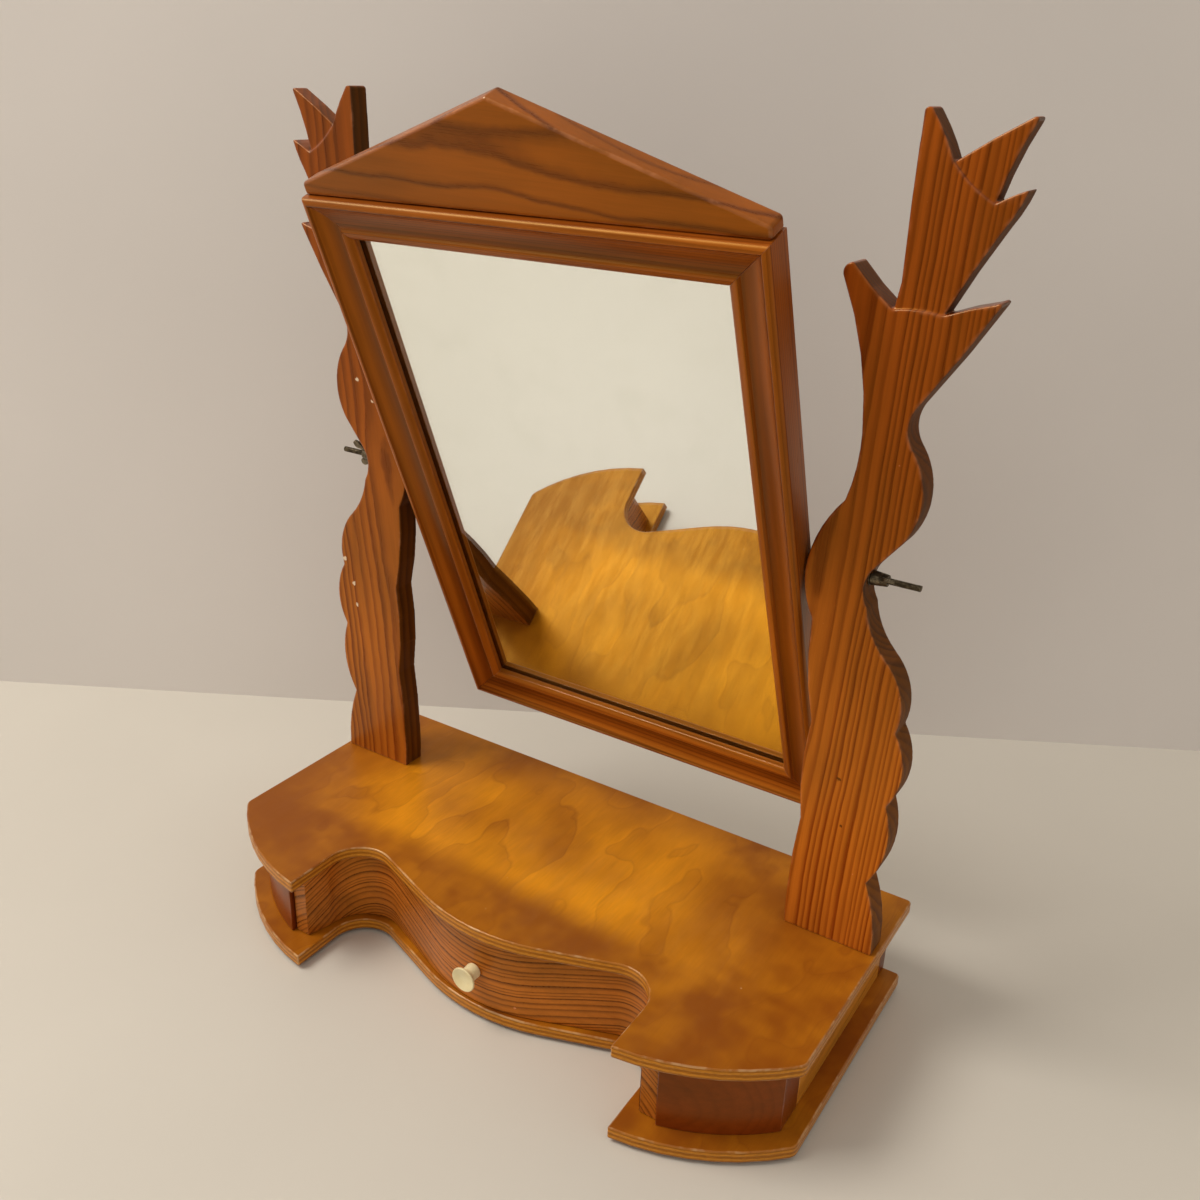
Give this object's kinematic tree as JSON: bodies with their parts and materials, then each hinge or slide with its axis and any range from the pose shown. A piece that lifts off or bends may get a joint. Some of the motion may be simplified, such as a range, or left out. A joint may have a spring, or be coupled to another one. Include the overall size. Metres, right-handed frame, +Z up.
{
  "type": "dressing table mirror",
  "caption": "Tilting dressing-table mirror in a moulded frame with a pediment, hung between fretted posts on a serpentine base with a drawer.",
  "frame": {"origin": "under the middle of the object's box at rest, on the surface that the feet stand on", "axes": "+X to the right of someone who faces the glass, +Y to the back, +Z up"},
  "size_m": [0.503, 0.2596, 0.5936],
  "materials": {
    "plywood": "gloss varnished birch plywood",
    "carcass": "dark stained softwood, varnished",
    "post_wood": "gloss varnished pine with dark growth rings",
    "drawer_wood": "gloss varnished pine, sawn to a curve",
    "inner_wood": "plain planed pine",
    "frame_wood": "gloss varnished pine moulding",
    "mirror_glass": "silvered glass",
    "panel": "plain hardboard",
    "browned_steel": "browned steel, dull",
    "knob_plastic": "cream plastic, polished",
    "foot_rubber": "matt black rubber"
  },
  "bodies": {
    "base": {"top_board": "plywood", "bottom_board": "plywood", "left_end_block": "carcass", "right_end_block": "carcass", "left_side_wall": "carcass", "right_side_wall": "carcass", "left_drawer_guide": "inner_wood", "right_drawer_guide": "inner_wood", "back_wall": "carcass", "base_feet": "foot_rubber", "base_screws": "browned_steel", "left_post": "post_wood", "right_post": "post_wood", "post_screws": "browned_steel", "left_outer_washer": "browned_steel", "right_outer_washer": "browned_steel"},
    "drawer": {"drawer_front": "drawer_wood", "drawer_left_side": "drawer_wood", "drawer_right_side": "drawer_wood", "drawer_back": "inner_wood", "drawer_bottom": "panel", "drawer_knob": "knob_plastic", "knob_screw": "browned_steel"},
    "mirror": {"frame_top_rail": "frame_wood", "frame_bottom_rail": "frame_wood", "frame_left_stile": "frame_wood", "frame_right_stile": "frame_wood", "pediment": "frame_wood", "mirror_glass": "mirror_glass", "back_panel": "panel", "panel_pins": "browned_steel", "left_pivot_stud": "browned_steel", "right_pivot_stud": "browned_steel", "left_spacer_washer": "browned_steel", "right_spacer_washer": "browned_steel"},
    "left_nut": {"left_wing_nut": "browned_steel"},
    "right_nut": {"right_wing_nut": "browned_steel"}
  },
  "joints": [
    {"name": "mirror_tilt", "type": "hinge", "parent": "base", "child": "mirror", "pos_m": [0, 0.04192, 0.334], "axis": [1, 0, 0], "range_deg": [-171, 128]},
    {"name": "drawer_slide", "type": "slide", "parent": "base", "child": "drawer", "axis": [0, -1, 0], "range_m": [0, 0.15]},
    {"name": "left_nut_turn", "type": "hinge", "parent": "mirror", "child": "left_nut", "pos_m": [0, 0.04192, 0.334], "axis": [1, 0, 0], "continuous": true},
    {"name": "right_nut_turn", "type": "hinge", "parent": "mirror", "child": "right_nut", "pos_m": [0, 0.04192, 0.334], "axis": [1, 0, 0], "continuous": true}
  ]
}
